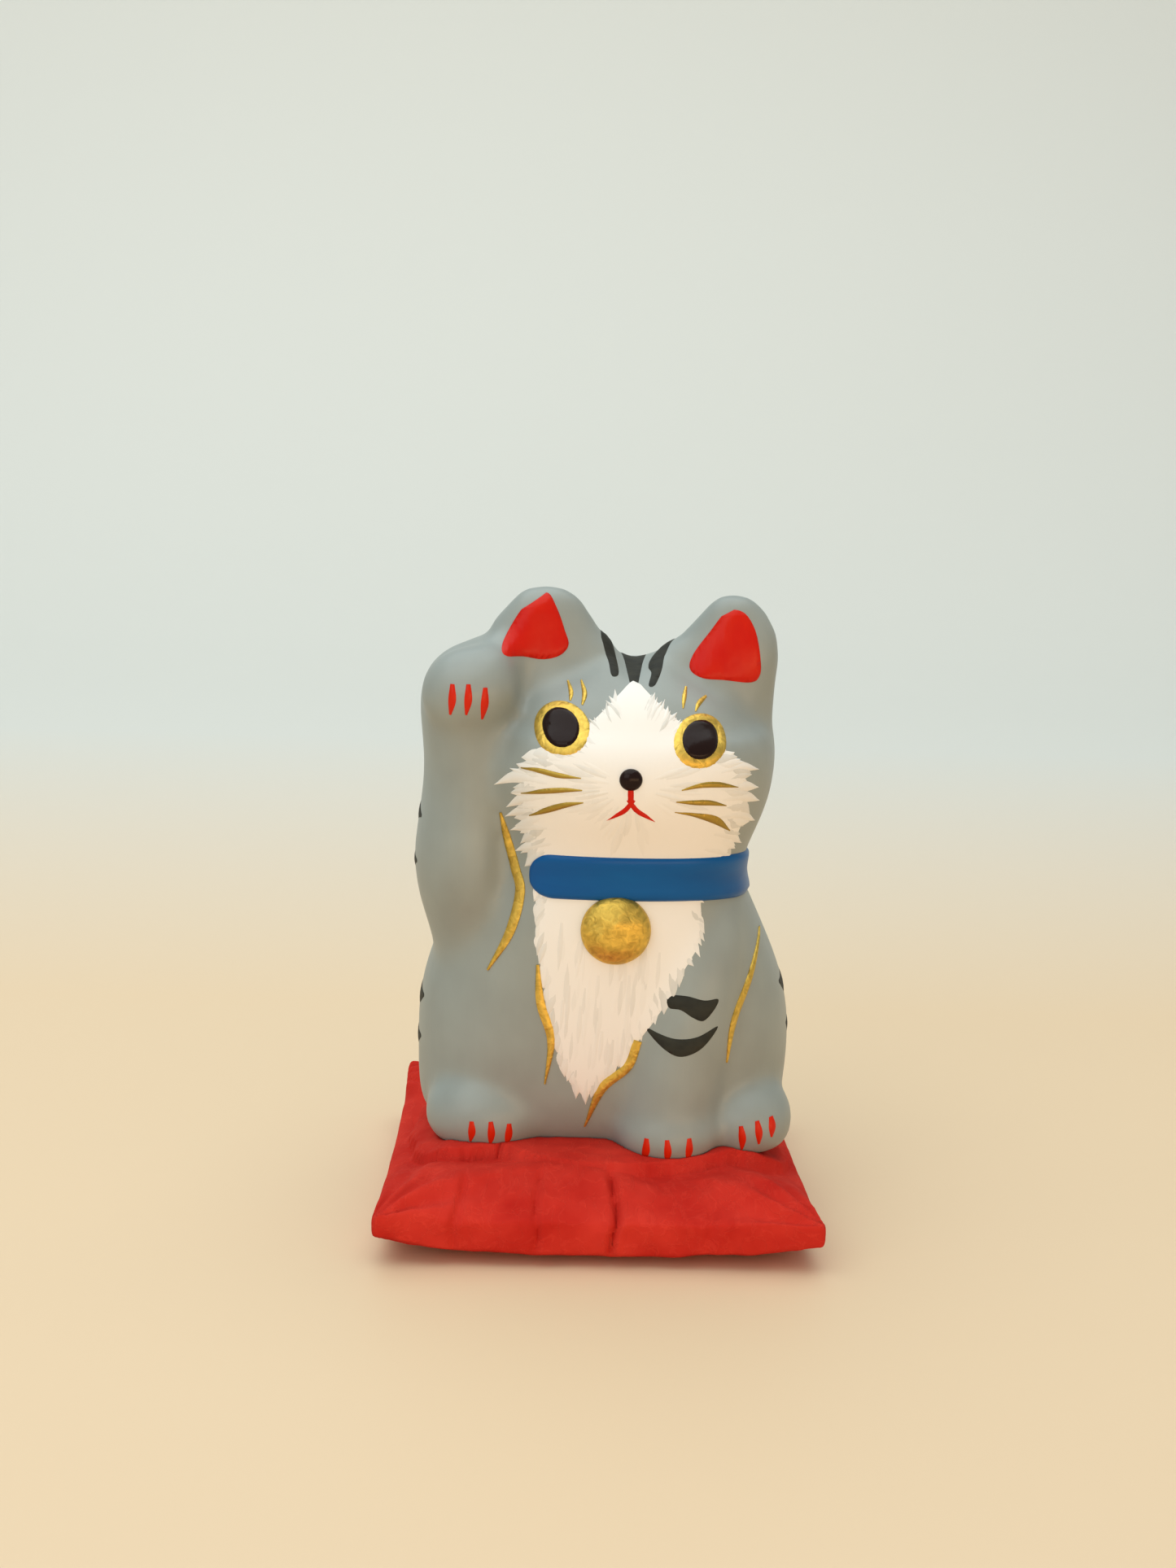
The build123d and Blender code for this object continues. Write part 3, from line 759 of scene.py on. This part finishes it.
shape = vertex_table(cushion.data, "co")
span = shape.max(axis=0) - shape.min(axis=0)
shape = (shape - (shape.max(axis=0) + shape.min(axis=0)) / 2) / (span / 2)
half = np.array(cushion_size) / 2 / mm
mid_width, tail_narrowing = 0.955, 0.045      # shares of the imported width
tail_depth = 1.06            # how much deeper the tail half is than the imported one
plump = 4.8                  # height of the pinched edge over the floor, mm
tail_rise, front_rise = 2.6, 0.6              # how far the corners stand up, mm
tip_lift = 3.2               # how far the tips lift off the floor, mm
x = shape[:, 0] * half[0] * (mid_width - tail_narrowing * shape[:, 1])
y = shape[:, 1] * half[1] * np.where(shape[:, 1] > 0, tail_depth, 1.0)
filled = np.abs(shape[:, 2])
swelling = 1 - (1 - np.minimum(1, filled * 1.1)) ** 1.7
sagging = np.minimum(1, filled ** 0.4 * 1.35)
z = plump + np.where(shape[:, 2] > 0, swelling * (2 * half[2] - 0.5 - plump), -plump * sagging)
corner = np.abs(shape[:, 0] * shape[:, 1])
z += corner ** 5 * np.where(shape[:, 1] > 0, tail_rise, front_rise)
z += corner ** 3 * tip_lift * np.clip((plump - z) / plump, 0, 1)
fold_count, fold_reach, fold_depth = 15, 6, 0.6      # round each corner; the last two in mm
for side_x in (-1, 1):
    for side_y in (-1, 1):
        away_x, away_y = half[0] - side_x * x, half[1] - side_y * y
        away = np.hypot(away_x, away_y)
        fold = (np.sin(np.arctan2(away_y, away_x) * fold_count + side_x)
                * np.exp(-((away - fold_reach) / fold_reach) ** 2))
        z += fold_depth * fold * np.clip((z - 2) / 4, 0, 1)
front_top, front_from = 11, -16      # height of the front face, and the y where it starts, mm
for (top_x, foot_x), wide, deep in (
    ((1.9, 1.7), 0.45, 1.8), ((-7.5, -8.4), 0.4, 0.8), ((-17.2, -19.2), 0.5, 0.7), ((13.5, 14.4), 0.7, 0.5),
):
    line = foot_x + (top_x - foot_x) * z / front_top + 0.35 * np.sin(z * 0.9 + foot_x)
    share = np.clip((front_from - y) / 3, 0, 1) * np.clip(z / 3, 0, 1)
    near = (x - line) / wide
    y += share * deep * (np.exp(-near ** 2) - 0.3 * np.exp(-(near / 3) ** 2))
    z -= share * deep * 0.45 * np.exp(-near ** 2)
for i, (a, b, c) in enumerate(zip(x, y, z)):
    at = Vector((a, b, c))
    rough = noise.noise(at * 0.16) * 0.25 + noise.noise(at * 0.55 + Vector((7, 0, 0))) * 0.14
    z[i] += rough * min(1, c / 3)
    y[i] += noise.noise(at * 0.3 + Vector((0, 9, 0))) * 0.35
middle = Vector((cushion_middle.x, cushion_middle.y, 0)) / mm
press = 5.0                  # mm over which the cover slopes down to the cat
sunk = 2.1                   # how far it has sunk beside the cat, mm
under_cat = 0.12             # gap that the dent leaves below the clay, mm
pressed_over = 4             # only what is higher than this is pressed, mm
for i in range(len(z)):
    at = Vector((x[i] + middle.x, y[i] + middle.y, z[i])) * mm
    if at.z > pressed_over * mm:
        hit = clay.ray_cast(Vector((at.x, at.y, -10 * mm)), Vector((0, 0, 1)))[0]
        if hit:
            z[i] = min(z[i], hit.z / mm - under_cat)
        else:
            gap = clay.find_nearest(at)[3] / mm
            z[i] -= sunk * math.exp(-(gap / press) ** 2) * min(1, (z[i] - pressed_over) / 4)
z = np.maximum(z, 0)
shape = np.column_stack([x + middle.x, y + middle.y, z]) * mm
cushion.data.vertices.foreach_set("co", shape.ravel())
cushion.data.update()
settle(cushion, "SMOOTH", factor=0.3, iterations=1)
cushion.data.materials.append(washi.material)
smooth(cushion, 80)
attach(cushion, "cushion")
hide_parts("cushion_cover")

cotton = Finish("cotton_wadding", Roughness=0.95)
cotton.shader.inputs["Base Color"].default_value = (0.8, 0.78, 0.72, 1)
cover_thickness = 0.7        # mm
wadding_share = 0.955        # drawn in towards the middle, away from the corner folds
wadding = bmesh.new()
wadding.from_mesh(cushion.data)
wadding.normal_update()
for vert in wadding.verts:
    inner = vert.co - vert.normal * cover_thickness * mm
    vert.co = cushion_middle + (inner - cushion_middle) * wadding_share
wadding = object_of(wadding, "wadding", cotton)
smooth(wadding, 80)
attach(wadding, "cushion")
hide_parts("cushion_filling")

# ---- floor, light and camera ----
# A plain pale floor that curves up into a backdrop, three broad soft lamps (the low one is
# warm, from the front), and a camera in front of the cat and a little above it.

floor = bmesh.new()
bmesh.ops.create_grid(floor, x_segments=4, y_segments=48, size=1)
bend_from, bend_radius = 0.35, 0.3
floor_half_x, floor_half_y = 1.2, 0.9
for vert in floor.verts:
    run = vert.co.y * floor_half_y
    past = max(0.0, run - bend_from)
    turn = min(past / bend_radius, math.pi / 2)
    rise = max(0.0, past - bend_radius * math.pi / 2)
    vert.co = (vert.co.x * floor_half_x, run - past + bend_radius * math.sin(turn),
               bend_radius * (1 - math.cos(turn)) + rise)
floor_paint = Finish("floor", Roughness=0.55)
behind = Reading(floor_paint.add("SeparateXYZ", sockets={"Vector": floor_paint.place}).outputs["Y"])
floor_paint.feed(floor_paint.shader, {
    "Base Color": floor_paint.mixed(
        (behind * 5 - 0.4).within(0, 1), (0.76, 0.58, 0.38, 1), (0.66, 0.67, 0.63, 1))})
floor = object_of(floor, "floor", floor_paint)
smooth(floor)

world = bpy.data.worlds.new("room")
world.use_nodes = True
world.node_tree.nodes["Background"].inputs["Color"].default_value = (0.92, 0.96, 0.93, 1)
world.node_tree.nodes["Background"].inputs["Strength"].default_value = 0.42
bpy.context.scene.world = world


def lamp(name, place, target, size, power, colour):
    """A broad soft lamp that points at a target, both in metres."""
    light = bpy.data.lights.new(name, "AREA")
    light.shape = "RECTANGLE"
    light.size, light.size_y = size
    light.energy = power
    light.color = colour
    holder = bpy.data.objects.new(name, light)
    holder.location = place
    holder.rotation_euler = (Vector(target) - Vector(place)).to_track_quat("-Z", "Y").to_euler()
    bpy.context.scene.collection.objects.link(holder)


lamp("sky", (-0.1, 0.05, 0.75), (0, 0, 0.04), (1.2, 1.0), 6.4, (0.94, 1.0, 1.0))
lamp("front", (-0.5, -0.7, 0.5), (0, 0, 0.04), (0.7, 0.5), 1.7, (1.0, 0.99, 0.97))
lamp("low", (0.25, -0.5, 0.02), (0, 0, 0.03), (0.7, 0.2), 1.7, (1.0, 0.62, 0.32))

view = bpy.data.cameras.new("view")
view.lens = 58.94
view.sensor_width = 36
view.clip_start = 0.01
camera = bpy.data.objects.new("view", view)
camera.location = (-0.01391, -0.32537, 0.13488)
camera.rotation_euler = (math.radians(76.52), math.radians(-1.92), math.radians(-1.55))
bpy.context.scene.collection.objects.link(camera)
bpy.context.scene.camera = camera
bpy.context.scene.view_settings.view_transform = "Standard"
